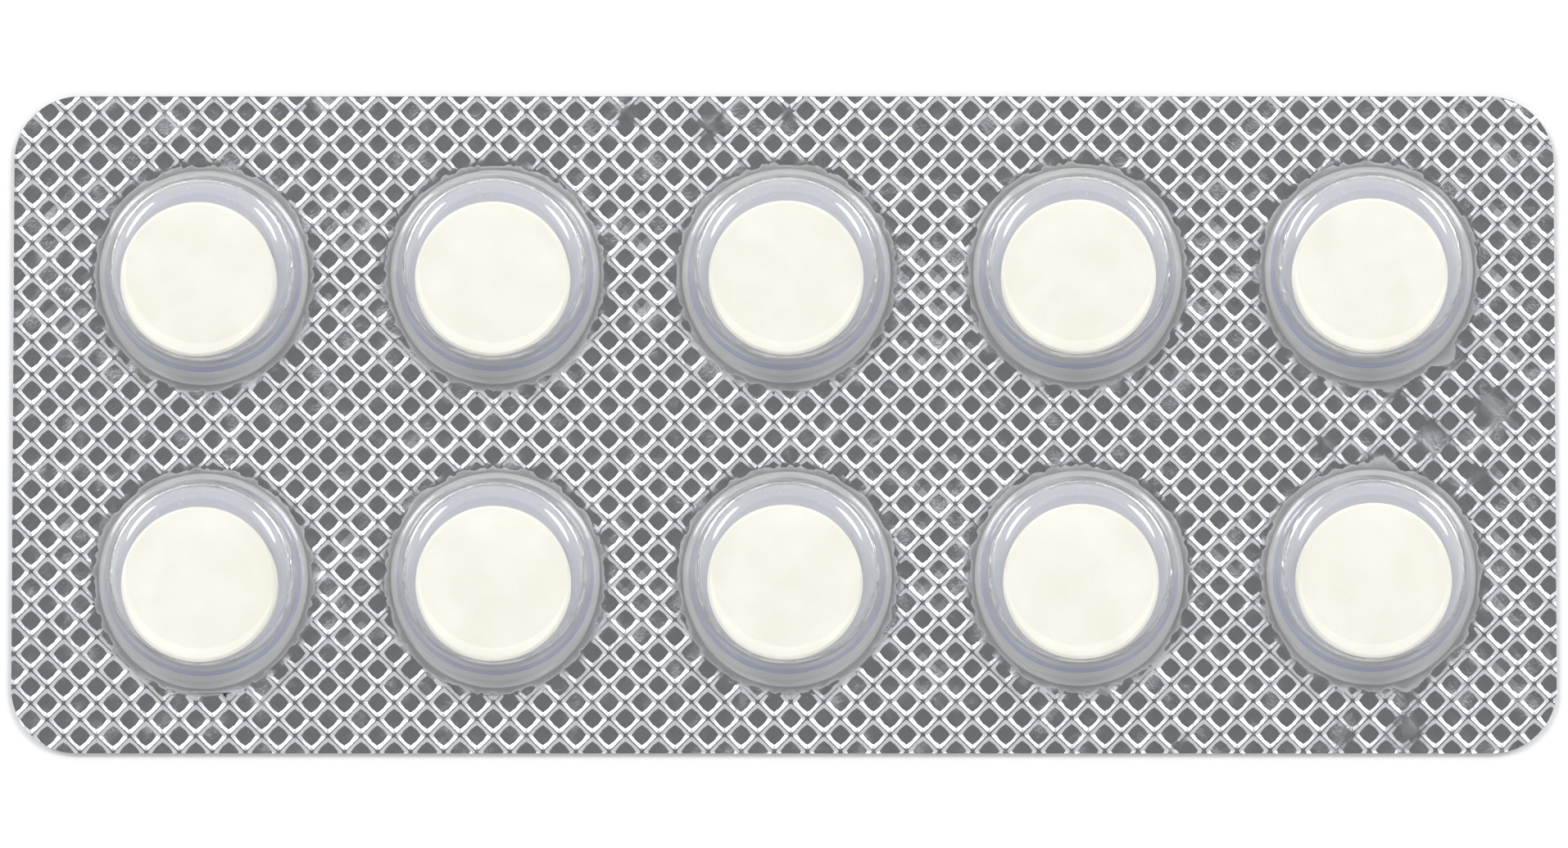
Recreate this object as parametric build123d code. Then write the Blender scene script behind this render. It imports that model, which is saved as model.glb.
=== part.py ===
from build123d import *
from math import cos, radians, sin, tan
import os

# Push-through blister strip of ten tablets, millimetres.
# X runs along the strip, Y across it and Z up; the lidding foil's underside is Z = 0.

# Blanked outline, shared by the foil and the forming film
pack_length = 94.0
pack_width = 40.2
corner_radius = 4.0

# The two webs sealed to each other
foil_thickness = 0.025
film_thickness = 0.25  # flat flange of the forming film
wall_thickness = 0.15  # pocket side wall, stretched thin by thermoforming
crown_thickness = 0.20  # pocket top

# Tablets
tablet_diameter = 9.4
tablet_thickness = 3.6
tablet_bevel = 0.16  # 45-degree edge break left by the punch faces

# Pockets, drawn round the tablets
column_count = 5
row_count = 2
end_margin = 5.05  # flat seal between the end pockets' feet and the ends of the strip
row_web = 5.75  # flat seal between the feet of the two rows
crown_clearance = 0.52  # radial gap, tablet to pocket wall, at the height of the pocket's ceiling
head_room = 0.90  # gap, tablet to ceiling
wall_draft = 9.0  # degrees from vertical
shoulder_radius = 0.90  # inside, between wall and ceiling
foot_radius = 0.42  # outside, between wall and flange
mouth_radius = 0.55  # inside, where the flange turns up into the wall

# The formed web meets the blanking die slightly off centre and turned
forming_shift = 0.17  # towards +X
forming_turn = 0.2  # degrees, +X end towards +Y

# Each tablet has slid downhill, towards -Y, until it almost touches its pocket's wall
slide_clearance = 0.05
slide_bearings = [-18, -7, -2, -2, -7, -10, -5, -13, 2, 1]  # degrees off -Y towards +X

draft_run = tan(radians(wall_draft))
ceiling_height = tablet_thickness + head_room
mouth_inner_radius = tablet_diameter / 2 + crown_clearance + ceiling_height * draft_run
wall_offset = wall_thickness / cos(radians(wall_draft))
shell_height = ceiling_height + crown_thickness - film_thickness
flange_outer_radius = mouth_inner_radius - film_thickness * draft_run + wall_offset
foot_reach = flange_outer_radius + foot_radius * tan(radians(45 - wall_draft / 2))

column_pitch = (pack_length - 2 * end_margin - 2 * foot_reach) / (column_count - 1)
row_pitch = 2 * foot_reach + row_web


def pocket_centres():
    """Pocket axes on the seal plane: the +Y row first, each row from -X to +X."""
    centres = []
    for row in range(row_count):
        y = (row_count - 1) / 2 * row_pitch - row * row_pitch
        for column in range(column_count):
            x = column * column_pitch - (column_count - 1) / 2 * column_pitch
            centres.append(Vector(x, y, foil_thickness).rotate(Axis.Z, forming_turn))
    return [centre + Vector(forming_shift, 0, 0) for centre in centres]


def blank(thickness):
    """Flat sheet of the blanked outline, its underside at Z = 0."""
    outline = RectangleRounded(pack_length, pack_width, corner_radius)
    return extrude(outline, thickness)


def drafted_plug(base_radius, height, edge_radius):
    """Truncated cone standing on Z = 0 with its top edge rounded."""
    plug = Solid.make_cone(base_radius, base_radius - height * draft_run, height)
    top_edge = plug.edges().filter_by(GeomType.CIRCLE).sort_by(Axis.Z)[-1]
    return fillet(top_edge, edge_radius)


def lidding_foil():
    """Hard-tempered aluminium foil, flat under the pockets."""
    return blank(foil_thickness)


def forming_film(centres):
    """One thermoformed sheet: a flat flange and a thin hollow pocket over each tablet."""
    film = Pos(0, 0, foil_thickness) * blank(film_thickness)
    flange_top = foil_thickness + film_thickness
    shell = drafted_plug(flange_outer_radius, shell_height, shoulder_radius + wall_thickness)
    for centre in centres:
        film += Pos(centre.X, centre.Y, flange_top) * shell
    feet = film.edges().filter_by(GeomType.CIRCLE).filter_by_position(
        Axis.Z, flange_top, flange_top).filter_by(lambda edge: edge.radius > corner_radius)
    film = fillet(feet, foot_radius)
    cavity = drafted_plug(mouth_inner_radius, ceiling_height, shoulder_radius)
    for centre in centres:
        film -= Pos(centre.X, centre.Y, centre.Z) * cavity
    mouths = film.edges().filter_by(GeomType.CIRCLE).filter_by_position(
        Axis.Z, foil_thickness, foil_thickness).filter_by(lambda edge: edge.radius > corner_radius)
    return fillet(mouths, mouth_radius)


def tablet(centre, bearing):
    """Flat-faced round tablet with bevelled edges, lying on the foil inside its pocket."""
    bevel_height = tablet_thickness - tablet_bevel
    slide = mouth_inner_radius - bevel_height * draft_run - slide_clearance - tablet_diameter / 2
    place = centre + Vector(slide * sin(radians(bearing)), -slide * cos(radians(bearing)), 0)
    disc = Solid.make_cylinder(tablet_diameter / 2, tablet_thickness)
    disc = chamfer(disc.edges().filter_by(GeomType.CIRCLE), tablet_bevel)
    return Pos(place.X, place.Y, place.Z) * disc


def main():
    centres = pocket_centres()
    nodes = {"lidding_foil": lidding_foil(), "forming_film": forming_film(centres)}
    for number, (centre, bearing) in enumerate(zip(centres, slide_bearings), start=1):
        nodes[f"tablet_{number:02d}"] = tablet(centre, bearing)
    os.makedirs("parts", exist_ok=True)
    for name, solid in nodes.items():
        export_step(solid, f"parts/{name}.step")
    print(f"column pitch {column_pitch:.2f}, row pitch {row_pitch:.2f}, foot radius {foot_reach:.2f}")
    print(f"strip height {foil_thickness + ceiling_height + crown_thickness:.2f}")


main()
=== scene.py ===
import math
import bmesh
import bpy
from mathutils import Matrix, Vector, noise


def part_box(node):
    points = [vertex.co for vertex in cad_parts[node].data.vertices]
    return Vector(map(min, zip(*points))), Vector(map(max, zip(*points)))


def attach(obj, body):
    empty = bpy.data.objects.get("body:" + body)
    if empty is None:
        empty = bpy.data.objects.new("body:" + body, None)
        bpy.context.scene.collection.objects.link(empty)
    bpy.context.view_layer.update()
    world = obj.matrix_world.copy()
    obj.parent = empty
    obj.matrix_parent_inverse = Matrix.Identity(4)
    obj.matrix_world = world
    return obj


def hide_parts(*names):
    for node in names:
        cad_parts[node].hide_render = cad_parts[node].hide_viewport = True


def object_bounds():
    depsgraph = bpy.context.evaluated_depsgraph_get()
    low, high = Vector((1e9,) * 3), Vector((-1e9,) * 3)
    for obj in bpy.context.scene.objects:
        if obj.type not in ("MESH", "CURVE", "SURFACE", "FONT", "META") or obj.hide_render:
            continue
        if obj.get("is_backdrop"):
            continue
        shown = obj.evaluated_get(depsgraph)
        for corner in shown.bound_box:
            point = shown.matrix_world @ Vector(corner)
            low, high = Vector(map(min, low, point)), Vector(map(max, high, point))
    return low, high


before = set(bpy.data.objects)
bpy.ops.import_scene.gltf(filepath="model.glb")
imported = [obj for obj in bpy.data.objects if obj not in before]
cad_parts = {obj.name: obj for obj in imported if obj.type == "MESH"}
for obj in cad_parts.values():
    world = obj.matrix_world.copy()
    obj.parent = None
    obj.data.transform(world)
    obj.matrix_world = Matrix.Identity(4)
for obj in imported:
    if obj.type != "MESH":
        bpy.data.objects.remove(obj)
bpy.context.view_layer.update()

mm = 0.001  # every length below is in metres, written as so many mm


# Small helpers

def linearColour(hexColour):
    # sRGB hex to the linear values that Blender's sockets take
    channels = [int(hexColour[i:i + 2], 16) / 255 for i in (1, 3, 5)]
    return [c / 12.92 if c <= 0.04045 else ((c + 0.055) / 1.055) ** 2.4 for c in channels] + [1.0]


def addNode(tree, kind, inputs=None, **settings):
    # one node with its settings; a socket given as an input is linked, a node is linked from its
    # first output, and anything else is a value
    made = tree.nodes.new(kind)
    for name, value in settings.items():
        setattr(made, name, value)
    for name, value in (inputs or {}).items():
        if isinstance(value, bpy.types.Node):
            value = value.outputs[0]
        if isinstance(value, bpy.types.NodeSocket):
            tree.links.new(value, made.inputs[name])
        else:
            made.inputs[name].default_value = value
    return made


def newMaterial(name):
    made = bpy.data.materials.new(name)
    made.use_nodes = True
    made.node_tree.nodes.clear()
    return made


def makeObject(name, bm, material, smooth=True):
    mesh = bpy.data.meshes.new(name)
    bm.to_mesh(mesh)
    bm.free()
    mesh.materials.append(material)
    if smooth:
        mesh.shade_smooth()
    made = bpy.data.objects.new(name, mesh)
    bpy.context.scene.collection.objects.link(made)
    return made


def triangleCount(piece):
    return sum(len(face.vertices) - 2 for face in piece.data.polygons)


def smoothStep(low, high, value):
    t = min(max((value - low) / (high - low), 0.0), 1.0)
    return t * t * (3 - 2 * t)


def roundedPath(corners, radii, steps):
    # (radius, height) outline whose inner corners are rounded by arcs of the given radii
    path = [Vector(corners[0])]
    for before, corner, after, radius in zip(corners, corners[1:], corners[2:], radii):
        corner = Vector(corner)
        toBefore = (Vector(before) - corner).normalized()
        toAfter = (Vector(after) - corner).normalized()
        half = toBefore.angle(toAfter) / 2
        centre = corner + (toBefore + toAfter).normalized() * radius / math.sin(half)
        start = corner + toBefore * radius / math.tan(half) - centre
        sweep = start.angle_signed(corner + toAfter * radius / math.tan(half) - centre)
        for step in range(steps + 1):
            turn = -sweep * step / steps
            turned = Vector((start.x * math.cos(turn) - start.y * math.sin(turn),
                             start.x * math.sin(turn) + start.y * math.cos(turn)))
            path.append(centre + turned)
    path.append(Vector(corners[-1]))
    return path


def lathe(bm, centre, path, segments, wobble=None):
    # turns a (radius, height) path round a vertical axis; a point on the axis becomes a pole
    rings = []
    for radius, height in path:
        if radius < 1e-7:
            rings.append([bm.verts.new((centre.x, centre.y, height))])
            continue
        ring = []
        for step in range(segments):
            angle = 2 * math.pi * step / segments
            shift, lift = wobble(angle, radius, height) if wobble else (0, 0)
            ring.append(bm.verts.new((centre.x + (radius + shift) * math.cos(angle),
                                      centre.y + (radius + shift) * math.sin(angle),
                                      height + lift)))
        rings.append(ring)
    for lower, upper in zip(rings, rings[1:]):
        for step in range(segments):
            after = (step + 1) % segments
            corners = [lower[step % len(lower)], lower[after % len(lower)],
                       upper[after % len(upper)], upper[step % len(upper)]]
            bm.faces.new(list(dict.fromkeys(corners)))
    return rings


def ringEdges(ring):
    pairs = zip(ring, ring[1:] + ring[:1])
    return [next(edge for edge in a.link_edges if edge.other_vert(a) is b) for a, b in pairs]


def openEdges(bm):
    return [edge for edge in bm.edges if len(edge.link_faces) == 1]


# The CAD pockets, read from the frame

tabletNodes = sorted(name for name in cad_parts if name.startswith("tablet"))
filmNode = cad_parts["forming_film"]
foilLow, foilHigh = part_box("lidding_foil")
filmLow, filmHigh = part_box("forming_film")
pocketReach = 8 * mm  # from a tablet's middle, less than half the pockets' pitch
crownBand = 0.02 * mm  # the flat crown lies this near the film's highest level


def pocketAxes():
    # the middle of the circle of vertices that bounds the flat crown of each CAD pocket
    crown = [v.co for v in filmNode.data.vertices if v.co.z > filmHigh.z - crownBand]
    axes = []
    for name in tabletNodes:
        low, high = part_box(name)
        middle = (low + high) / 2
        near = [co for co in crown if (co.xy - middle.xy).length < pocketReach]
        axes.append(Vector(((min(c.x for c in near) + max(c.x for c in near)) / 2,
                            (min(c.y for c in near) + max(c.y for c in near)) / 2, 0)))
    return axes


axes = pocketAxes()
print("frame read:", len(axes), "pockets")


# Lidding foil and the knurled seal

sealValues = {
    "cellSide": 1.4213 * mm,  # knurl pitch, so the diamonds are 2.01 mm point to point
    "ridgeWidth": 0.08 * mm,
    "slopeWidth": 0.155 * mm,
    "nodeGrowth": 0.04 * mm,  # ridges widen where they cross
    "cornerRound": 0.07 * mm,
    "depth": 0.042 * mm,
    "dish": 0.005 * mm,  # hollow of each cell's floor
    "deepDish": 0.040 * mm,  # and where the plate pressed hardest
    "level": 0.090 * mm,  # cell floors above the foil under the pockets
    "waviness": 0.020 * mm,
    "cellNoise": 0.006 * mm,
    "turn": 45.11,  # degrees, lattice against the strip's edges
    "nodeX": 0.378 * mm,  # one crossing, from the strip's centre
    "nodeY": -0.878 * mm,
    "holeRadius": 6.62 * mm,  # the plate is cut away round each pocket
    "fadeWidth": 0.5 * mm,
    "rimWander": 0.22 * mm,
    "spare": 0.6 * mm,  # made past the outline, for the die to cut off
    "seed": 7,
}

# places where the plate pressed lightly or the strip has rubbed: X, Y, reach in mm
weakPlaces = [(39.5, -0.6, 2.0), (43.2, 0.8, 2.4), (36.4, -2.2, 1.5), (33.0, -1.2, 1.2),
              (38.0, -18.6, 1.8), (34.0, -18.9, 1.4), (40.6, -12.6, 1.9), (38.0, -15.8, 1.6),
              (42.4, -3.2, 1.5), (-9.5, 19.0, 1.3), (-4.4, 18.6, 1.5), (0.2, 19.2, 1.1),
              (40.5, 4.0, 1.5), (37.0, 2.2, 1.4), (24.0, -19.6, 0.9), (-29.0, 19.5, 0.8)]

# places where it pressed hard, so that the cells' floors are bowls: X, Y, reach in mm
hardPlaces = [(9.2, 8.6, 3.4), (9.0, 4.6, 2.8), (9.3, -4.6, 2.6), (9.2, -9.8, 2.4),
              (9.0, -15.0, 2.6), (44.2, 17.0, 1.5), (44.3, 13.0, 1.6), (44.2, 9.0, 1.6),
              (44.3, 5.0, 1.6),
              (44.2, 1.0, 1.6), (44.1, -3.0, 1.5), (44.3, -7.0, 1.6), (44.2, -11.0, 1.6),
              (44.3, -15.0, 1.7), (-26.7, 12.2, 2.0), (-26.6, 7.4, 1.9), (-26.8, -7.2, 1.9),
              (-26.7, -12.0, 1.8), (-8.9, 11.8, 2.0), (-9.0, 7.2, 1.7), (-8.8, -9.6, 2.1),
              (26.4, 12.0, 2.0), (26.2, 7.6, 1.8), (26.6, -8.4, 2.0), (-44.4, 12.8, 1.7),
              (-44.6, 6.4, 1.4), (-44.3, -6.0, 1.4)]

shape = {
    "cornerRadius": 4.0 * mm,
    "foilThickness": foilHigh.z - foilLow.z,
    "southBulge": 0.42 * mm,  # the smooth rim is wider on the side the tablets lie on
    "patchMargin": 0.16 * mm,  # between the knurl's edge and a pocket's round patch of foil
    "raggedReach": 1.2 * mm,  # the knurl's torn edge round a pocket lies within this of it
    "rimSlope": 0.5 * mm,  # the foil comes down to its level under the pocket over this
    "slopeRings": 8,
    "markRadius": 7.0 * mm,  # the slope's rings are drawn here first, then moved to the rim
    "markStep": 0.1 * mm,
    "patchRadii": [5.75 * mm, 5.4 * mm, 4.8 * mm, 4.1 * mm, 3.2 * mm, 2.0 * mm, 1.0 * mm],
    "pucker": 0.012 * mm,  # the foil under a pocket isn't quite flat
    "puckerCount": 260,  # ripples a metre of radius
    "puckerFrom": 5.2 * mm,
    "puckerTo": 6.3 * mm,
    "facets": 12,  # straight cuts in a rounded corner of the strip
    "cutReach": 1 * mm,
    "segments": 96,
}


def southness(angle):
    return max(0.0, -math.sin(angle)) ** 2


def knurlTree():
    tree = bpy.data.node_groups.new("knurled seal", "GeometryNodeTree")
    face = tree.interface
    face.new_socket("Geometry", in_out="OUTPUT", socket_type="NodeSocketGeometry")
    floats = ["cellSide", "ridgeWidth", "slopeWidth", "nodeGrowth", "cornerRound", "depth", "dish",
              "deepDish", "level", "waviness", "cellNoise", "turn", "nodeX", "nodeY", "holeRadius",
              "fadeWidth", "rimWander", "southBulge", "halfLength", "halfWidth", "spare"]
    for name in floats:
        face.new_socket(name, in_out="INPUT", socket_type="NodeSocketFloat")
    for name in ("cells", "seed"):
        face.new_socket(name, in_out="INPUT", socket_type="NodeSocketInt")
    for name in ("pockets", "weakPlaces", "hardPlaces"):
        face.new_socket(name, in_out="INPUT", socket_type="NodeSocketObject")
    face.new_socket("material", in_out="INPUT", socket_type="NodeSocketMaterial")
    given = addNode(tree, "NodeGroupInput").outputs
    maths = "ShaderNodeMath"

    # five lines a cell: the two edges of a ridge, the foot of a slope, the middle, the next foot
    lines = addNode(tree, maths, {0: given["cells"], 1: 5.0}, operation="MULTIPLY")
    perSide = addNode(tree, maths, {0: lines, 1: 1.0}, operation="ADD")
    grid = addNode(tree, "GeometryNodeMeshGrid", {"Vertices X": perSide, "Vertices Y": perSide})
    index = addNode(tree, "GeometryNodeInputIndex")
    halfRidge = addNode(tree, maths, {0: given["ridgeWidth"], 1: 0.5}, operation="MULTIPLY")
    foot = addNode(tree, maths, {0: halfRidge, 1: given["slopeWidth"]}, operation="ADD")
    farFoot = addNode(tree, maths, {0: given["cellSide"], 1: foot}, operation="SUBTRACT")
    halfCell = addNode(tree, maths, {0: given["cellSide"], 1: 0.5}, operation="MULTIPLY")
    nearEdge = addNode(tree, maths, {0: halfRidge, 1: -1.0}, operation="MULTIPLY")

    def pick(line, values):
        # one value for each of a cell's five lines
        switch = addNode(tree, "GeometryNodeIndexSwitch", data_type="FLOAT")
        while len(switch.index_switch_items) < len(values):
            switch.index_switch_items.new()
        tree.links.new(line.outputs[0], switch.inputs["Index"])
        for number, value in enumerate(values):
            socket = switch.inputs[str(number)]
            if isinstance(value, bpy.types.Node):
                tree.links.new(value.outputs[0], socket)
            else:
                socket.default_value = value
        return switch

    def lineFields(count):
        line = addNode(tree, maths, {0: count, 1: 5.0}, operation="MODULO")
        middle = addNode(tree, maths, {0: count, 1: 0.5}, operation="ADD")  # safe from rounding
        share = addNode(tree, maths, {0: middle, 1: 5.0}, operation="DIVIDE")
        number = addNode(tree, maths, {0: share}, operation="FLOOR")
        halfCount = addNode(tree, maths, {0: given["cells"], 1: 0.5}, operation="MULTIPLY")
        cell = addNode(tree, maths, {0: number, 1: halfCount}, operation="SUBTRACT")
        corner = addNode(tree, maths, {0: cell, 1: given["cellSide"]}, operation="MULTIPLY")
        offset = pick(line, [nearEdge, halfRidge, foot, halfCell, farFoot])
        return {"place": addNode(tree, maths, {0: corner, 1: offset}, operation="ADD"),
                "ridge": pick(line, [1, 1, 0, 0, 0]), "push": pick(line, [-1, 1, 0, 0, 0]),
                "foot": pick(line, [0, 0, 1, 0, 1]), "pull": pick(line, [0, 0, 1, 0, -1]),
                "middle": pick(line, [0, 0, 0, 1, 0])}

    indexMiddle = addNode(tree, maths, {0: index, 1: 0.5}, operation="ADD")
    indexShare = addNode(tree, maths, {0: indexMiddle, 1: perSide}, operation="DIVIDE")
    column = addNode(tree, maths, {0: indexShare}, operation="FLOOR")
    before = addNode(tree, maths, {0: column, 1: perSide}, operation="MULTIPLY")
    row = addNode(tree, maths, {0: index, 1: before}, operation="SUBTRACT")
    u, v = lineFields(column), lineFields(row)

    def placed(own, other):
        # ridges widen where they cross, and the corners of a cell's floor are rounded off
        crossing = addNode(tree, maths, {0: own["push"], 1: other["ridge"]}, operation="MULTIPLY")
        widened = addNode(tree, maths, {0: crossing, 1: given["nodeGrowth"]}, operation="MULTIPLY")
        corner = addNode(tree, maths, {0: own["pull"], 1: other["foot"]}, operation="MULTIPLY")
        rounded = addNode(tree, maths, {0: corner, 1: given["cornerRound"]}, operation="MULTIPLY")
        moved = addNode(tree, maths, {0: widened, 1: rounded}, operation="ADD")
        return addNode(tree, maths, {0: own["place"], 1: moved}, operation="ADD")

    flat = addNode(tree, "ShaderNodeCombineXYZ", {"X": placed(u, v), "Y": placed(v, u)})
    laid = addNode(tree, "GeometryNodeSetPosition", {"Geometry": grid, "Position": flat})
    ridge = addNode(tree, maths, {0: u["ridge"], 1: v["ridge"]}, operation="MAXIMUM")
    offRidge = addNode(tree, maths, {0: 1.0, 1: ridge}, operation="SUBTRACT")
    middles = addNode(tree, maths, {0: u["middle"], 1: v["middle"]}, operation="ADD")
    inward = addNode(tree, maths, {0: middles, 1: 0.5}, operation="MULTIPLY")
    hollow = addNode(tree, maths, {0: inward, 1: offRidge}, operation="MULTIPLY")
    radians = addNode(tree, maths, {0: given["turn"]}, operation="RADIANS")
    turn = addNode(tree, "ShaderNodeCombineXYZ", {"Z": radians})
    place = addNode(tree, "ShaderNodeCombineXYZ", {"X": given["nodeX"], "Y": given["nodeY"]})
    turned = addNode(tree, "GeometryNodeTransform",
                     {"Geometry": laid, "Rotation": turn, "Translation": place})

    # how far each point is from the nearest pocket, and on which side of it
    position = addNode(tree, "GeometryNodeInputPosition")
    pockets = addNode(tree, "GeometryNodeObjectInfo", {"Object": given["pockets"]})
    nearest = addNode(tree, "GeometryNodeProximity", {0: pockets.outputs["Geometry"]},
                      target_element="POINTS")
    away = addNode(tree, "ShaderNodeVectorMath", {0: position, 1: nearest.outputs["Position"]},
                   operation="SUBTRACT")
    parts = addNode(tree, "ShaderNodeSeparateXYZ", {0: away}).outputs
    distance = nearest.outputs["Distance"]
    northward = addNode(tree, maths, {0: parts["Y"], 1: distance}, operation="DIVIDE")
    southward = addNode(tree, maths, {0: northward, 1: -1.0}, operation="MULTIPLY")
    south = addNode(tree, maths, {0: southward, 1: 0.0}, operation="MAXIMUM")
    squared = addNode(tree, maths, {0: south, 1: 2.0}, operation="POWER")
    bulge = addNode(tree, maths, {0: squared, 1: given["southBulge"]}, operation="MULTIPLY")
    hole = addNode(tree, maths, {0: given["holeRadius"], 1: bulge}, operation="ADD")

    def wander(scale, detail, offset, amount):
        # noise from about -amount to amount, with scale waves a metre; each use has its own offset
        moved = addNode(tree, "ShaderNodeVectorMath",
                        {0: position, 1: (offset, offset * 0.37, 0)}, operation="ADD")
        seeded = addNode(tree, "ShaderNodeTexNoise",
                         {"Vector": moved, "W": given["seed"], "Scale": scale,
                          "Detail": detail}, noise_dimensions="4D")
        doubled = addNode(tree, maths, {0: seeded, 1: 2.0}, operation="MULTIPLY")
        level = addNode(tree, maths, {0: doubled, 1: 1.0}, operation="SUBTRACT")
        return addNode(tree, maths, {0: level, 1: amount}, operation="MULTIPLY")

    ragged = addNode(tree, maths, {0: wander(0.7 / mm, 2.0, 0.3, given["rimWander"])},
                     operation="ABSOLUTE")
    rim = addNode(tree, maths, {0: hole, 1: ragged}, operation="ADD")
    fadeEnd = addNode(tree, maths, {0: rim, 1: given["fadeWidth"]}, operation="ADD")
    fade = addNode(tree, "ShaderNodeMapRange", {"Value": distance, "From Min": rim,
                                                "From Max": fadeEnd},
                   interpolation_type="SMOOTHSTEP")

    def outsidePlaces(places, raggedness):
        # 0 at the middle of the nearest place, 1 beyond its ragged reach
        info = addNode(tree, "GeometryNodeObjectInfo", {"Object": given[places]})
        spots = info.outputs["Geometry"]
        near = addNode(tree, "GeometryNodeProximity", {0: spots}, target_element="POINTS")
        which = addNode(tree, "GeometryNodeSampleNearest", {"Geometry": spots}, domain="POINT")
        named = addNode(tree, "GeometryNodeInputNamedAttribute", {"Name": "reach"},
                        data_type="FLOAT")
        reach = addNode(tree, "GeometryNodeSampleIndex",
                        {"Geometry": spots, "Value": named, "Index": which},
                        data_type="FLOAT", domain="POINT")
        share = addNode(tree, maths, {0: 1.0, 1: wander(0.45 / mm, 3.0, 0.7, raggedness)},
                        operation="ADD")
        edge = addNode(tree, maths, {0: reach, 1: share}, operation="MULTIPLY")
        core = addNode(tree, maths, {0: edge, 1: 0.3}, operation="MULTIPLY")
        return addNode(tree, "ShaderNodeMapRange", {"Value": near.outputs["Distance"],
                                                    "From Min": core, "From Max": edge},
                       interpolation_type="SMOOTHSTEP")

    # a weak place keeps a quarter of the pattern's depth
    most = addNode(tree, maths, {0: outsidePlaces("weakPlaces", 0.9), 1: 0.75},
                   operation="MULTIPLY")
    pressed = addNode(tree, maths, {0: 0.25, 1: most}, operation="ADD")
    hard = addNode(tree, maths, {0: 1.0, 1: outsidePlaces("hardPlaces", 0.4)},
                   operation="SUBTRACT")
    deeper = addNode(tree, maths, {0: given["deepDish"], 1: given["dish"]}, operation="SUBTRACT")
    added = addNode(tree, maths, {0: hard, 1: deeper}, operation="MULTIPLY")
    bowl = addNode(tree, maths, {0: given["dish"], 1: added}, operation="ADD")
    even = addNode(tree, maths, {0: 0.93, 1: wander(0.16 / mm, 2.0, 1.9, 0.22)}, operation="ADD")
    kept = addNode(tree, maths, {0: fade, 1: pressed}, operation="MULTIPLY")
    strength = addNode(tree, maths, {0: kept, 1: even}, operation="MULTIPLY")

    ridgeShare = addNode(tree, maths, {0: ridge, 1: strength}, operation="MULTIPLY")
    height = addNode(tree, maths, {0: ridgeShare, 1: given["depth"]}, operation="MULTIPLY")
    sunk = addNode(tree, maths, {0: hollow, 1: bowl}, operation="MULTIPLY")
    sunk = addNode(tree, maths, {0: sunk, 1: strength}, operation="MULTIPLY")
    height = addNode(tree, maths, {0: height, 1: sunk}, operation="SUBTRACT")
    # the whole seal is a little wavy, and no two cells are quite alike
    for rough in (wander(0.075 / mm, 1.5, 4.1, given["waviness"]),
                  wander(1.1 / mm, 1.0, 5.3, given["cellNoise"])):
        faded = addNode(tree, maths, {0: rough, 1: fade}, operation="MULTIPLY")
        height = addNode(tree, maths, {0: height, 1: faded}, operation="ADD")
    height = addNode(tree, maths, {0: height, 1: given["level"]}, operation="ADD")
    height = addNode(tree, maths, {0: height, 1: 0.0}, operation="MAXIMUM")
    lift = addNode(tree, "ShaderNodeCombineXYZ", {"Z": height})
    raised = addNode(tree, "GeometryNodeSetPosition", {"Geometry": turned, "Offset": lift})
    stored = addNode(tree, "GeometryNodeStoreNamedAttribute",
                     {"Geometry": raised, "Name": "seal", "Value": strength},
                     data_type="FLOAT", domain="POINT")
    # facets meet in crisp edges, but a cell's floor is one smooth hollow
    centres = addNode(tree, maths, {0: u["middle"], 1: v["middle"]}, operation="MULTIPLY")
    offCentre = addNode(tree, maths, {0: centres, 1: 0.4}, operation="LESS_THAN")
    strong = addNode(tree, maths, {0: strength, 1: 0.25}, operation="GREATER_THAN")
    crisp = addNode(tree, maths, {0: offCentre, 1: strong}, operation="MULTIPLY")
    creased = addNode(tree, "GeometryNodeStoreNamedAttribute",
                      {"Geometry": stored, "Name": "sharp_edge", "Value": crisp},
                      data_type="BOOLEAN", domain="EDGE")

    # what lies in a pocket, or well past the outline, is taken away
    where = addNode(tree, "ShaderNodeSeparateXYZ", {0: position}).outputs
    gone = addNode(tree, maths, {0: distance, 1: hole}, operation="LESS_THAN")
    for axis, half in (("X", "halfLength"), ("Y", "halfWidth")):
        out = addNode(tree, maths, {0: where[axis]}, operation="ABSOLUTE")
        limit = addNode(tree, maths, {0: given[half], 1: given["spare"]}, operation="ADD")
        past = addNode(tree, maths, {0: out, 1: limit}, operation="GREATER_THAN")
        gone = addNode(tree, maths, {0: gone, 1: past}, operation="MAXIMUM")
    chosen = addNode(tree, maths, {0: gone, 1: 0.5}, operation="GREATER_THAN")
    left = addNode(tree, "GeometryNodeDeleteGeometry", {"Geometry": creased, "Selection": chosen},
                   domain="POINT", mode="ALL")
    real = addNode(tree, "GeometryNodeRealizeInstances", {"Geometry": left})
    coated = addNode(tree, "GeometryNodeSetMaterial",
                     {"Geometry": real, "Material": given["material"]})
    addNode(tree, "NodeGroupOutput", {"Geometry": coated})
    return tree


def pointsObject(name, places, reaches=None):
    mesh = bpy.data.meshes.new(name)
    mesh.from_pydata(places, [], [])
    if reaches:
        mesh.attributes.new("reach", "FLOAT", "POINT").data.foreach_set("value", reaches)
    made = bpy.data.objects.new(name, mesh)
    bpy.context.scene.collection.objects.link(made)
    return made


def runNodes(name, mesh, tree, values):
    # gives an object the tree, sets its inputs by their identifiers and returns the plain mesh
    holder = bpy.data.objects.new(name, mesh)
    bpy.context.scene.collection.objects.link(holder)
    modifier = holder.modifiers.new(name, "NODES")
    modifier.node_group = tree
    for item in tree.interface.items_tree:
        if item.item_type == "SOCKET" and item.in_out == "INPUT" and item.name in values:
            modifier[item.identifier] = values[item.name]
    bpy.context.view_layer.update()
    evaluated = holder.evaluated_get(bpy.context.evaluated_depsgraph_get())
    made = bpy.data.meshes.new_from_object(evaluated)
    bpy.data.objects.remove(holder)
    return made


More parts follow.
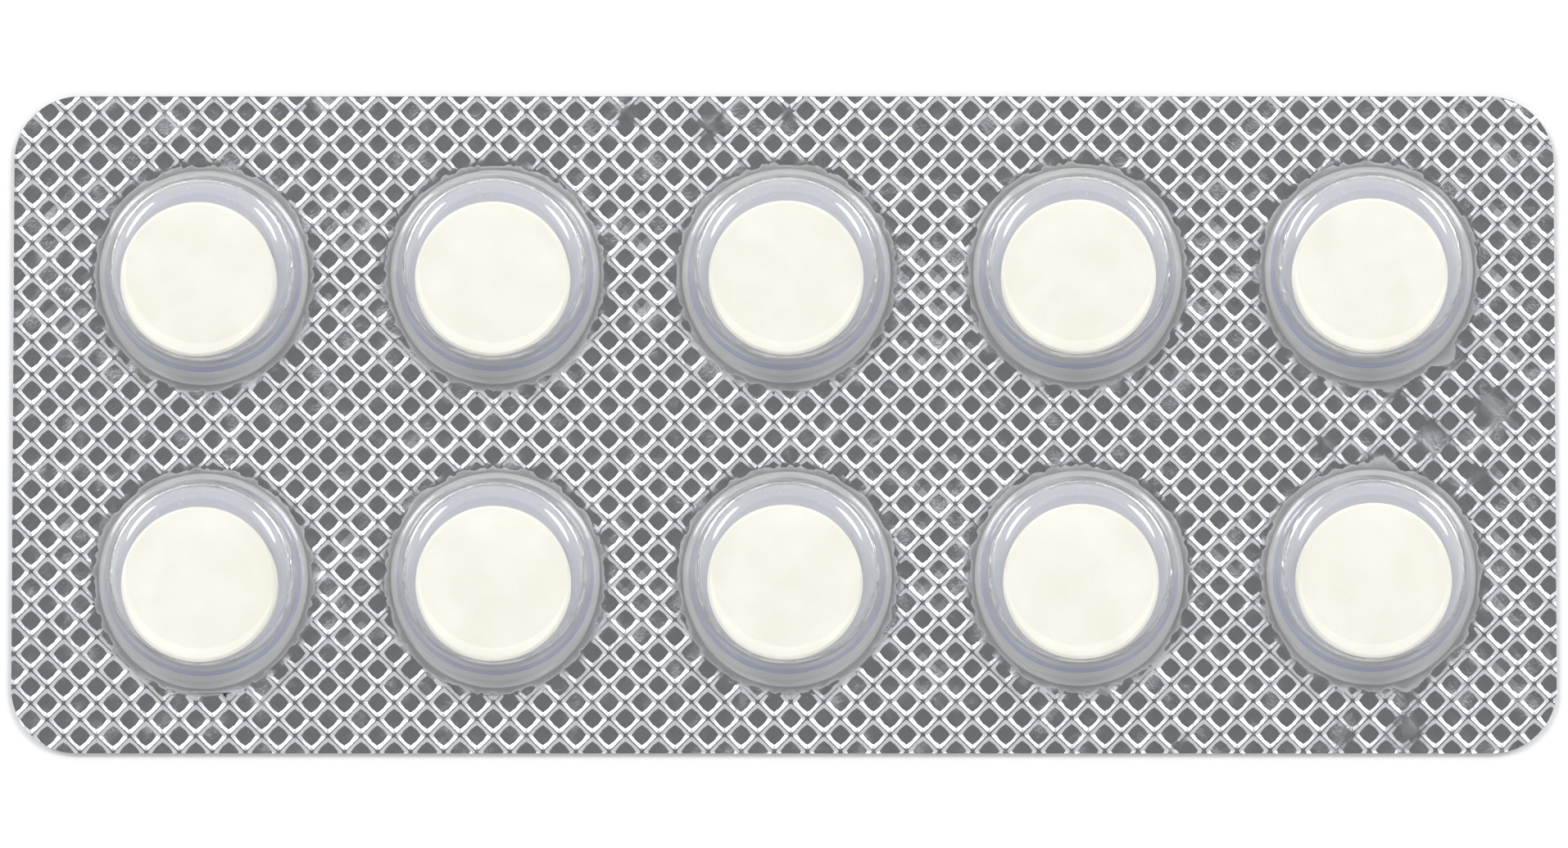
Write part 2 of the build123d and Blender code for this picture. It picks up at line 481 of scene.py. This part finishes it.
def knurledSheet(material):
    pockets = pointsObject("pocketAxes", [tuple(a) for a in axes])
    weak, hard = (pointsObject("places", [(x * mm, y * mm, 0) for x, y, reach in places],
                               [reach * mm for x, y, reach in places])
                  for places in (weakPlaces, hardPlaces))
    half = (filmHigh - filmLow) / 2
    cells = 2 * math.ceil((half.x + half.y) / math.sqrt(2) / sealValues["cellSide"] + 1)
    values = dict(sealValues, cells=cells, pockets=pockets, weakPlaces=weak, hardPlaces=hard,
                  material=material, southBulge=shape["southBulge"], halfLength=half.x,
                  halfWidth=half.y)
    mesh = runNodes("knurl", bpy.data.meshes.new("knurl"), knurlTree(), values)
    bpy.data.objects.remove(pockets)
    bpy.data.objects.remove(weak)
    bpy.data.objects.remove(hard)
    return mesh


def blankOutline(bm):
    # cuts the sheet to the die's rounded outline, one straight side or short facet at a time
    bmesh.ops.delete(bm, geom=[vert for vert in bm.verts if not vert.link_faces], context="VERTS")
    half = (filmHigh - filmLow) / 2
    radius = shape["cornerRadius"]
    cuts = [(Vector((half.x, 0, 0)), 0), (Vector((0, half.y, 0)), 90),
            (Vector((-half.x, 0, 0)), 180), (Vector((0, -half.y, 0)), 270)]
    facets = shape["facets"]
    for quarter, (sx, sy) in enumerate(((1, 1), (-1, 1), (-1, -1), (1, -1))):
        centre = Vector((sx * (half.x - radius), sy * (half.y - radius), 0))
        for facet in range(facets):
            degrees = quarter * 90 + (facet + 0.5) * 90 / facets
            outward = Vector((math.cos(math.radians(degrees)), math.sin(math.radians(degrees)), 0))
            cuts.append((centre + outward * radius, degrees))
    for place, degrees in cuts:
        outward = Vector((math.cos(math.radians(degrees)), math.sin(math.radians(degrees)), 0))
        reach = [face for face in bm.faces
                 if (face.calc_center_median() - place).dot(outward) > -shape["cutReach"]]
        near = {item for face in reach for item in (*face.verts, *face.edges, face)}
        bmesh.ops.bisect_plane(bm, geom=list(near), dist=1e-8, plane_co=place, plane_no=outward,
                               clear_outer=True)


def rimRadius(angle):
    return sealValues["holeRadius"] - shape["patchMargin"] + shape["southBulge"] * southness(angle)


def rimHeight(radius, angle):
    # the foil comes down from the seal to its level under the pocket over the smooth rim
    inner = rimRadius(angle) - shape["rimSlope"]
    return sealValues["level"] * smoothStep(inner, rimRadius(angle), radius)


def fillRim(bm, centre, ring):
    # closes the ragged gap between the knurl and a pocket's round patch
    reach = sealValues["holeRadius"] + shape["southBulge"] + shape["raggedReach"]
    own = set(ringEdges(ring))
    ragged = [edge for edge in openEdges(bm) if edge not in own
              and all((v.co.xy - centre.xy).length < reach for v in edge.verts)]
    bmesh.ops.triangle_fill(bm, use_beauty=True, normal=(0, 0, 1), edges=ragged + list(own))


def makeFoil(knurl, material):
    bm = bmesh.new()
    bm.from_mesh(knurl)
    v = shape
    thickness = v["foilThickness"]
    marks = [v["markRadius"] - v["markStep"] * step for step in range(v["slopeRings"] + 1)]
    path = [(radius, 0) for radius in marks + v["patchRadii"] + [0]]
    for number, centre in enumerate(axes):
        def settle(angle, radius, height):
            # the outer rings follow the rim down, the rest puckers a little
            if radius >= marks[-1]:
                share = (marks[0] - radius) / (marks[0] - marks[-1])
                own = rimRadius(angle) - share * v["rimSlope"]
                return own - radius, rimHeight(own, angle)
            spot = Vector((math.cos(angle), math.sin(angle), number * 2.1)) * radius * v["puckerCount"]
            ripple = max(noise.noise(spot + Vector((0, 0, number * 3.7))) + 0.5, 0) * v["pucker"]
            flat = smoothStep(v["puckerFrom"], v["puckerTo"], radius)
            return 0, rimHeight(radius, angle) + ripple * (1 - flat)
        rings = lathe(bm, centre, path, v["segments"], settle)
        fillRim(bm, centre, rings[0])
    bmesh.ops.recalc_face_normals(bm, faces=bm.faces)
    if sum(face.normal.z for face in bm.faces) < 0:
        bmesh.ops.reverse_faces(bm, faces=bm.faces)
    under = {}
    for vert in list(bm.verts):
        under[vert] = bm.verts.new(vert.co)
        vert.co.z += thickness
    topFaces = list(bm.faces)
    outline = openEdges(bm)
    crisp = [edge for edge in bm.edges if not edge.smooth] + outline
    for face in topFaces:
        bm.faces.new([under[vert] for vert in reversed(face.verts)])
    for edge in outline:
        loop = edge.link_loops[0]
        a, b = loop.vert, loop.link_loop_next.vert
        bm.faces.new((b, a, under[a], under[b]))
    for edge in crisp:
        edge.smooth = False
        bm.edges.get([under[vert] for vert in edge.verts]).smooth = False
    return makeObject("liddingFoil", bm, material)


# Forming film

crownThickness = 0.20 * mm

filmValues = {
    "wallDraft": 9.0,  # degrees
    "wall": 0.15 * mm,
    "crown": crownThickness,
    "flangeTop": foilHigh.z + 0.25 * mm,
    "ceiling": filmHigh.z - crownThickness,
    "ceilingRadius": 5.22 * mm,  # inside, where wall and ceiling would meet
    "shoulder": 0.9 * mm,
    "foot": 0.42 * mm,
    "mouth": 0.55 * mm,
    "outerStart": 6.5 * mm,  # where the flange ends and a pocket's foot or mouth begins
    "innerStart": 6.6 * mm,
    "arcMargin": 0.05 * mm,
    "crownRise": 0.05 * mm,  # the crown is slightly domed
    "crownFrom": 3.9 * mm,
    "footWander": 0.05 * mm,
    "wanderCount": 2.6,  # waves in a foot's outline
    "footFrom": 0.3 * mm,
    "footTo": 1.2 * mm,
    "mouthTop": 0.5 * mm,
    "outerSpan": 1.1 * mm,  # longest stretch between two rings of a pocket
    "innerSpan": 1.3 * mm,
    "arcSteps": 7,
    "axisHole": 0.02 * mm,  # a path ends this near the axis before it is closed by a pole
    "upright": 0.35,  # a normal's steepest Z on the wall
    "crease": 50.0,  # degrees
    "tintFrom": 0.4 * mm,  # the stretch of wall painted bluer, where the long light path through the toned wall shows from above
    "tintTo": 1.25 * mm,
}


def pocketPaths():
    v = filmValues
    run = math.tan(math.radians(v["wallDraft"]))
    inside = v["ceilingRadius"] + v["ceiling"] * run
    shift = v["wall"] / math.cos(math.radians(v["wallDraft"]))
    outside = inside + shift - v["flangeTop"] * run
    top = v["ceiling"] + v["crown"] - v["crownRise"]
    outer = roundedPath([(v["outerStart"], v["flangeTop"]), (outside, v["flangeTop"]),
                         (outside - (top - v["flangeTop"]) * run, top), (v["axisHole"], top)],
                        [v["foot"], v["shoulder"] + v["wall"]], v["arcSteps"])
    ceiling = v["ceiling"] - v["crownRise"]
    inner = roundedPath([(v["innerStart"], 0.0), (inside, 0.0), (inside - ceiling * run, ceiling),
                         (v["axisHole"], ceiling)], [v["mouth"], v["shoulder"]], v["arcSteps"])
    return [p.to_tuple() for p in outer], [p.to_tuple() for p in inner]


def withRings(path, longest):
    # splits long straight runs of a path so that the lathe has rings along them
    full = [path[0]]
    for a, b in zip(path, path[1:]):
        count = max(1, math.ceil(math.dist(a, b) / longest))
        full += [(a[0] + (b[0] - a[0]) * i / count, a[1] + (b[1] - a[1]) * i / count)
                 for i in range(1, count + 1)]
    return full[:-1] + [(0.0, full[-1][1])]


def makeFilm(knurl, material, paintedBlueWallMaterial):
    bm = bmesh.new()
    bm.from_mesh(knurl)
    half = shape["foilThickness"] / 2
    v = filmValues
    outer, inner = pocketPaths()
    outer, inner = withRings(outer, v["outerSpan"]), withRings(inner, v["innerSpan"])
    seat = sealValues["level"] + half  # the flange's underside
    crownRadius = v["ceilingRadius"] - v["shoulder"]

    def crownLift(radius):
        return v["crownRise"] * (1 - min(radius / crownRadius, 1.0) ** 2)

    for vert in bm.verts:
        vert.co.z += half  # halfway into the foil, so that no gap shows between them
    outerRings = []
    for number, centre in enumerate(axes):
        def insideShape(angle, radius, height):
            if radius > v["innerStart"] - v["arcMargin"]:  # the path's first point alone
                return rimRadius(angle) - radius, seat
            # the flange stays flat over the rim, where the foil drops away from it
            low = 1 - smoothStep(0.0, v["mouthTop"], height)
            return 0, seat * low + crownLift(radius) * (height > v["crownFrom"])

        def outsideShape(angle, radius, height):
            spot = Vector((math.cos(angle), math.sin(angle), number * 1.3)) * v["wanderCount"]
            low = 1 - smoothStep(v["footFrom"], v["footTo"], height)
            lift = crownLift(radius) * (height > v["crownFrom"])
            return noise.noise(spot) * v["footWander"] * low, lift

        rings = lathe(bm, centre, inner, shape["segments"], insideShape)
        fillRim(bm, centre, rings[0])
        outerRings.append((centre, outsideShape))
    outline = openEdges(bm)
    top = {}
    for edge in outline:
        for vert in edge.verts:
            if vert not in top:
                top[vert] = bm.verts.new((vert.co.x, vert.co.y, v["flangeTop"]))
    for edge in outline:
        a, b = edge.verts
        bm.faces.new((a, b, top[b], top[a]))
    topEdges = [bm.edges.get((top[edge.verts[0]], top[edge.verts[1]])) for edge in outline]
    holes = []
    for centre, outsideShape in outerRings:
        rings = lathe(bm, centre, outer, shape["segments"], outsideShape)
        holes += ringEdges(rings[0])
    bmesh.ops.triangle_fill(bm, use_beauty=True, normal=(0, 0, 1), edges=topEdges + holes)
    bmesh.ops.recalc_face_normals(bm, faces=bm.faces)
    # steep wall faces in the tint band get the wall finish, whose blue is painted light: the edge-on
    # light path through the toned PVC
    for face in bm.faces:
        height = face.calc_center_median().z
        if abs(face.normal.z) < v["upright"] and v["tintFrom"] < height < v["tintTo"]:
            face.material_index = 1
    made = makeObject("formingFilm", bm, material)
    made.data.materials.append(paintedBlueWallMaterial)
    made.data.set_sharp_from_angle(angle=math.radians(v["crease"]))
    return made


# Tablets

tabletValues = {
    "bevel": 0.17 * mm,
    "edgeSoftness": 0.05 * mm,
    "unevenness": 0.006 * mm,
    "lumpSize": 0.9 * mm,
    "ringSpan": 0.45 * mm,
    "axisHole": 0.01 * mm,
    "segments": 128,
}


def makeTablet(node, material):
    low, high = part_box(node)
    centre = (low + high) / 2
    radius = (high.x - low.x) / 2
    bevel = tabletValues["bevel"]
    number = int(node.split("_")[1])
    axisHole = tabletValues["axisHole"]
    path = roundedPath([(axisHole, low.z), (radius - bevel, low.z), (radius, low.z + bevel),
                        (radius, high.z - bevel), (radius - bevel, high.z), (axisHole, high.z)],
                       [tabletValues["edgeSoftness"]] * 4, 3)
    path = withRings([p.to_tuple() for p in path], tabletValues["ringSpan"])
    path[0] = (0.0, path[0][1])

    def uneven(angle, r, height):
        spot = Vector((r * math.cos(angle), r * math.sin(angle), height)) / tabletValues["lumpSize"]
        return noise.noise(spot + Vector((0, 0, 9.1 * number))) * tabletValues["unevenness"], 0

    bm = bmesh.new()
    lathe(bm, centre, path, tabletValues["segments"], uneven)
    bmesh.ops.recalc_face_normals(bm, faces=bm.faces)
    return makeObject("tablet" + str(number), bm, material)


# Powder that the tablets have shed

dustLift = 0.03 * mm  # a grain's middle above the foil

dustValues = {
    "grains": 26,  # in each pocket, strewn where no tablet lies
    "innerRadius": 4.75 * mm,
    "outerRadius": 5.5 * mm,
    "size": 0.028 * mm,
    "seed": 11,
}


def dustTree():
    tree = bpy.data.node_groups.new("tablet dust", "GeometryNodeTree")
    face = tree.interface
    face.new_socket("Geometry", in_out="OUTPUT", socket_type="NodeSocketGeometry")
    face.new_socket("pockets", in_out="INPUT", socket_type="NodeSocketObject")
    for name in ("grains", "seed"):
        face.new_socket(name, in_out="INPUT", socket_type="NodeSocketInt")
    for name in ("innerRadius", "outerRadius", "size", "level"):
        face.new_socket(name, in_out="INPUT", socket_type="NodeSocketFloat")
    face.new_socket("material", in_out="INPUT", socket_type="NodeSocketMaterial")
    given = addNode(tree, "NodeGroupInput").outputs
    maths = "ShaderNodeMath"

    def draw(low, high, offset):
        # a number of its own for each grain
        seed = addNode(tree, maths, {0: given["seed"], 1: offset}, operation="ADD")
        made = addNode(tree, "FunctionNodeRandomValue", {"Seed": seed}, data_type="FLOAT")
        for name, value in (("Min", low), ("Max", high)):
            socket = next(i for i in made.inputs
                          if i.name == name and i.type == "VALUE" and i.enabled)
            if isinstance(value, bpy.types.NodeSocket):
                tree.links.new(value, socket)
            else:
                socket.default_value = value
        return next(o for o in made.outputs if o.type == "VALUE" and o.enabled)

    spots = addNode(tree, "GeometryNodeObjectInfo", {"Object": given["pockets"]})
    many = addNode(tree, "GeometryNodeDuplicateElements",
                   {"Geometry": spots.outputs["Geometry"], "Amount": given["grains"]},
                   domain="POINT")
    # on the side that the tablets have slid away from, in degrees from +X
    turn = addNode(tree, maths, {0: draw(25.0, 155.0, 1)}, operation="RADIANS")
    radius = draw(given["innerRadius"], given["outerRadius"], 2)
    shares = [addNode(tree, maths, {0: turn}, operation=name) for name in ("COSINE", "SINE")]
    x, y = (addNode(tree, maths, {0: share, 1: radius}, operation="MULTIPLY") for share in shares)
    offset = addNode(tree, "ShaderNodeCombineXYZ", {"X": x, "Y": y, "Z": given["level"]})
    strewn = addNode(tree, "GeometryNodeSetPosition",
                     {"Geometry": many.outputs["Geometry"], "Offset": offset})
    grain = addNode(tree, "GeometryNodeMeshIcoSphere", {"Radius": given["size"], "Subdivisions": 1})
    placed = addNode(tree, "GeometryNodeInstanceOnPoints",
                     {"Points": strewn, "Instance": grain, "Scale": draw(0.5, 1.7, 3)})
    real = addNode(tree, "GeometryNodeRealizeInstances", {"Geometry": placed})
    coated = addNode(tree, "GeometryNodeSetMaterial",
                     {"Geometry": real, "Material": given["material"]})
    addNode(tree, "NodeGroupOutput", {"Geometry": coated})
    return tree


def makeDust(material):
    pockets = pointsObject("pocketAxes", [tuple(a) for a in axes])
    level = shape["foilThickness"] + dustLift
    values = dict(dustValues, level=level, pockets=pockets, material=material)
    mesh = runNodes("dust", bpy.data.meshes.new("dust"), dustTree(), values)
    bpy.data.objects.remove(pockets)
    made = bpy.data.objects.new("tabletDust", mesh)
    bpy.context.scene.collection.objects.link(made)
    return made


# Materials

def foilMaterial():
    # hard-tempered aluminium foil, rolled and lacquered: a bright mirror where the seal has wetted
    # it against the film, dull and greyer where it lies loose under the pockets
    made = newMaterial("hardTemperedAluminiumFoil")
    tree = made.node_tree
    coords = addNode(tree, "ShaderNodeTexCoord").outputs["Object"]
    seal = addNode(tree, "ShaderNodeAttribute", attribute_name="seal").outputs["Fac"]
    sealed = addNode(tree, "ShaderNodeMapRange", {"Value": seal, "From Max": 0.25}).outputs[0]
    rough = addNode(tree, "ShaderNodeMix", {0: sealed, 2: 0.75, 3: 0.14}, data_type="FLOAT")
    # the seal lacquer lies milky on the foil where nothing has wetted it against the film
    bare = addNode(tree, "ShaderNodeMix", {0: sealed, 2: 0.3, 3: 1.0}, data_type="FLOAT")
    colour = addNode(tree, "ShaderNodeMix", {0: sealed, 6: linearColour("#CFCFCD"),
                                             7: linearColour("#E6E8EB")}, data_type="RGBA")
    # grain of the plate 0.15 mm across, strong in patches 2 mm across and faint elsewhere
    grain = addNode(tree, "ShaderNodeTexNoise", {"Vector": coords, "Scale": 6.5 / mm, "Detail": 3.0,
                                                 "Roughness": 0.6})
    patches = addNode(tree, "ShaderNodeTexNoise",
                      {"Vector": coords, "Scale": 0.52 / mm, "Detail": 3.0})
    worn = addNode(tree, "ShaderNodeMapRange", {"Value": patches.outputs[0], "From Min": 0.48,
                                                "From Max": 0.7, "To Min": 0.12, "To Max": 0.9})
    bump = addNode(tree, "ShaderNodeBump", {"Height": grain.outputs[0],
                                            "Strength": worn.outputs[0],
                                            "Distance": 0.022 * mm})
    shader = addNode(tree, "ShaderNodeBsdfPrincipled",
                     {"Base Color": colour.outputs[2], "Metallic": bare.outputs[0],
                      "Roughness": rough.outputs[0], "Normal": bump.outputs[0]})
    addNode(tree, "ShaderNodeOutputMaterial", {"Surface": shader.outputs[0]})
    return made


def filmMaterial(name, colour, roughness, clearness):
    # rigid PVC, calendered glossy; it holds a trace of blue toner, which shows where a drawn wall is
    # seen edge on, and the stretched wall is faintly hazy. The wall's deeper blue is a painted tint:
    # colour standing in for the longer light path through the wall seen edge on
    made = newMaterial(name)
    shader = addNode(made.node_tree, "ShaderNodeBsdfPrincipled",
                     {"Base Color": linearColour(colour), "Roughness": roughness, "IOR": 1.53,
                      "Transmission Weight": clearness})
    addNode(made.node_tree, "ShaderNodeOutputMaterial", {"Surface": shader.outputs[0]})
    return made


def tabletMaterial():
    # pressed powder tablet: matt off-white, faintly mottled every 2.4 mm, with grains 0.17 mm
    # across in its surface
    made = newMaterial("pressedPowder")
    tree = made.node_tree
    coords = addNode(tree, "ShaderNodeTexCoord").outputs["Object"]
    mottle = addNode(tree, "ShaderNodeTexNoise", {"Vector": coords, "Scale": 0.42 / mm, "Detail": 4.0})
    spread = addNode(tree, "ShaderNodeMapRange", {"Value": mottle.outputs[0], "From Min": 0.35,
                                                  "From Max": 0.65})
    colour = addNode(tree, "ShaderNodeMix", {0: spread.outputs[0], 6: linearColour("#F1EEE0"),
                                             7: linearColour("#F6F3E7")}, data_type="RGBA")
    grain = addNode(tree, "ShaderNodeTexNoise", {"Vector": coords, "Scale": 6 / mm, "Detail": 3.0})
    bump = addNode(tree, "ShaderNodeBump", {"Height": grain.outputs[0], "Strength": 0.3,
                                            "Distance": 0.03 * mm})
    shader = addNode(tree, "ShaderNodeBsdfPrincipled",
                     {"Base Color": colour.outputs[2], "Roughness": 0.7,
                      "Normal": bump.outputs[0]})
    addNode(tree, "ShaderNodeOutputMaterial", {"Surface": shader.outputs[0]})
    return made


foilFinish, tabletFinish = foilMaterial(), tabletMaterial()
filmFinish = filmMaterial("clearRigidPvc", "#FFFFFF", 0.03, 1.0)
wallFinishPaintedBlue = filmMaterial("pvcWallPaintedEdgeOnBlue", "#D9DFFC", 0.05, 1.0)  # the foot of a pocket's wall, painted blue for the long light path through it seen edge on
knurl = knurledSheet(foilFinish)
cut = bmesh.new()
cut.from_mesh(knurl)
blankOutline(cut)
cut.to_mesh(knurl)
cut.free()
print("knurl cut to the outline:", len(knurl.polygons), "faces")

foil = makeFoil(knurl, foilFinish)
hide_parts("lidding_foil")
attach(foil, "root")
print("foil:", triangleCount(foil), "triangles")

film = makeFilm(knurl, filmFinish, wallFinishPaintedBlue)
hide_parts("forming_film")
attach(film, "root")
print("film:", triangleCount(film), "triangles")

for node in tabletNodes:
    tabletPiece = makeTablet(node, tabletFinish)
    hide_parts(node)
    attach(tabletPiece, "root")
print("tablets:", len(tabletNodes))

dust = makeDust(tabletFinish)
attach(dust, "root")
print("dust:", triangleCount(dust), "triangles")


# Floor, light and camera

studioValues = {
    "cameraDistance": 0.70,
    "cameraElevation": 84.8,  # this and the angles below in degrees
    "frameWidth": 95.57 * mm,  # what the picture is wide, at the strip
    "capRadius": 12.0,  # the dark camera and ceiling overhead
    "capEdge": 9.0,
    "capLevel": 0.16,
    "northLevel": 0.9,
    "southLevel": 0.8,
    "boxLevel": 9.0,
    "boxElevation": 38.0,
    "boxAzimuth": 48.0,
    "boxRadius": 8.5,
    "boxEdge": 4.0,
    "tentBlend": 0.6,  # sine of the angle over which south turns to north
    "floorSize": 3.0,
}


def makeFloor():
    bm = bmesh.new()
    bmesh.ops.create_grid(bm, x_segments=1, y_segments=1, size=studioValues["floorSize"])
    finish = newMaterial("whitePaperSweep")
    shader = addNode(finish.node_tree, "ShaderNodeBsdfPrincipled",
                     {"Base Color": linearColour("#F4F4F4"), "Roughness": 1.0,
                      "Specular IOR Level": 0.0})
    addNode(finish.node_tree, "ShaderNodeOutputMaterial", {"Surface": shader.outputs[0]})
    floor = makeObject("floor", bm, finish, smooth=False)
    floor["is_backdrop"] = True


def makeWorld():
    # a light tent: bright all round, a dark camera overhead, two soft boxes at the back corners
    v = studioValues
    world = bpy.data.worlds.new("lightTent")
    bpy.context.scene.world = world
    world.use_nodes = True
    tree = world.node_tree
    tree.nodes.clear()
    maths = "ShaderNodeMath"
    way = addNode(tree, "ShaderNodeTexCoord").outputs["Generated"]
    parts = addNode(tree, "ShaderNodeSeparateXYZ", {0: way}).outputs
    tent = addNode(tree, "ShaderNodeMapRange",
                   {"Value": parts["Y"], "From Min": -v["tentBlend"], "From Max": v["tentBlend"],
                    "To Min": v["southLevel"], "To Max": v["northLevel"]},
                   interpolation_type="SMOOTHSTEP")
    capInner = math.cos(math.radians(v["capRadius"]))
    capOuter = math.cos(math.radians(v["capRadius"] + v["capEdge"]))
    cap = addNode(tree, "ShaderNodeMapRange",
                  {"Value": parts["Z"], "From Min": capOuter, "From Max": capInner},
                  interpolation_type="SMOOTHSTEP")
    uncovered = addNode(tree, maths, {0: 1.0, 1: cap}, operation="SUBTRACT")
    lit = addNode(tree, maths, {0: tent, 1: uncovered}, operation="MULTIPLY")
    dark = addNode(tree, maths, {0: cap, 1: v["capLevel"]}, operation="MULTIPLY")
    level = addNode(tree, maths, {0: lit, 1: dark}, operation="ADD")
    rise, turn = math.radians(v["boxElevation"]), math.radians(v["boxAzimuth"])
    for side in (-1, 1):
        towards = (side * math.sin(turn) * math.cos(rise), math.cos(turn) * math.cos(rise),
                   math.sin(rise))
        near = addNode(tree, "ShaderNodeVectorMath", {0: way, 1: towards}, operation="DOT_PRODUCT")
        box = addNode(tree, "ShaderNodeMapRange",
                      {"Value": near.outputs["Value"],
                       "From Min": math.cos(math.radians(v["boxRadius"] + v["boxEdge"])),
                       "From Max": math.cos(math.radians(v["boxRadius"])),
                       "To Max": v["boxLevel"]}, interpolation_type="SMOOTHSTEP")
        level = addNode(tree, maths, {0: level, 1: box}, operation="ADD")
    back = addNode(tree, "ShaderNodeBackground",
                   {"Color": linearColour("#FCFDFF"), "Strength": level})
    addNode(tree, "ShaderNodeOutputWorld", {"Surface": back})


def makeCamera():
    v = studioValues
    low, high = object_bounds()
    centre = Vector(((low.x + high.x) / 2, (low.y + high.y) / 2, filmValues["flangeTop"]))
    rise = math.radians(v["cameraElevation"])
    back = Vector((0, -math.cos(rise), math.sin(rise)))
    data = bpy.data.cameras.new("camera")
    data.sensor_width = 36.0
    data.lens = data.sensor_width * v["cameraDistance"] / v["frameWidth"]
    camera = bpy.data.objects.new("camera", data)
    bpy.context.scene.collection.objects.link(camera)
    camera.location = centre + back * v["cameraDistance"]
    camera.rotation_mode = "QUATERNION"
    camera.rotation_quaternion = (-back).to_track_quat("-Z", "Y")
    data.clip_start, data.clip_end = 0.01, 20.0
    bpy.context.scene.camera = camera


makeFloor()
makeWorld()
makeCamera()
bpy.context.scene.view_settings.view_transform = "Standard"
# light on its way to a tablet passes the clear film undimmed
bpy.context.scene.cycles.blur_glossy = 0.0
print("stage and camera set")
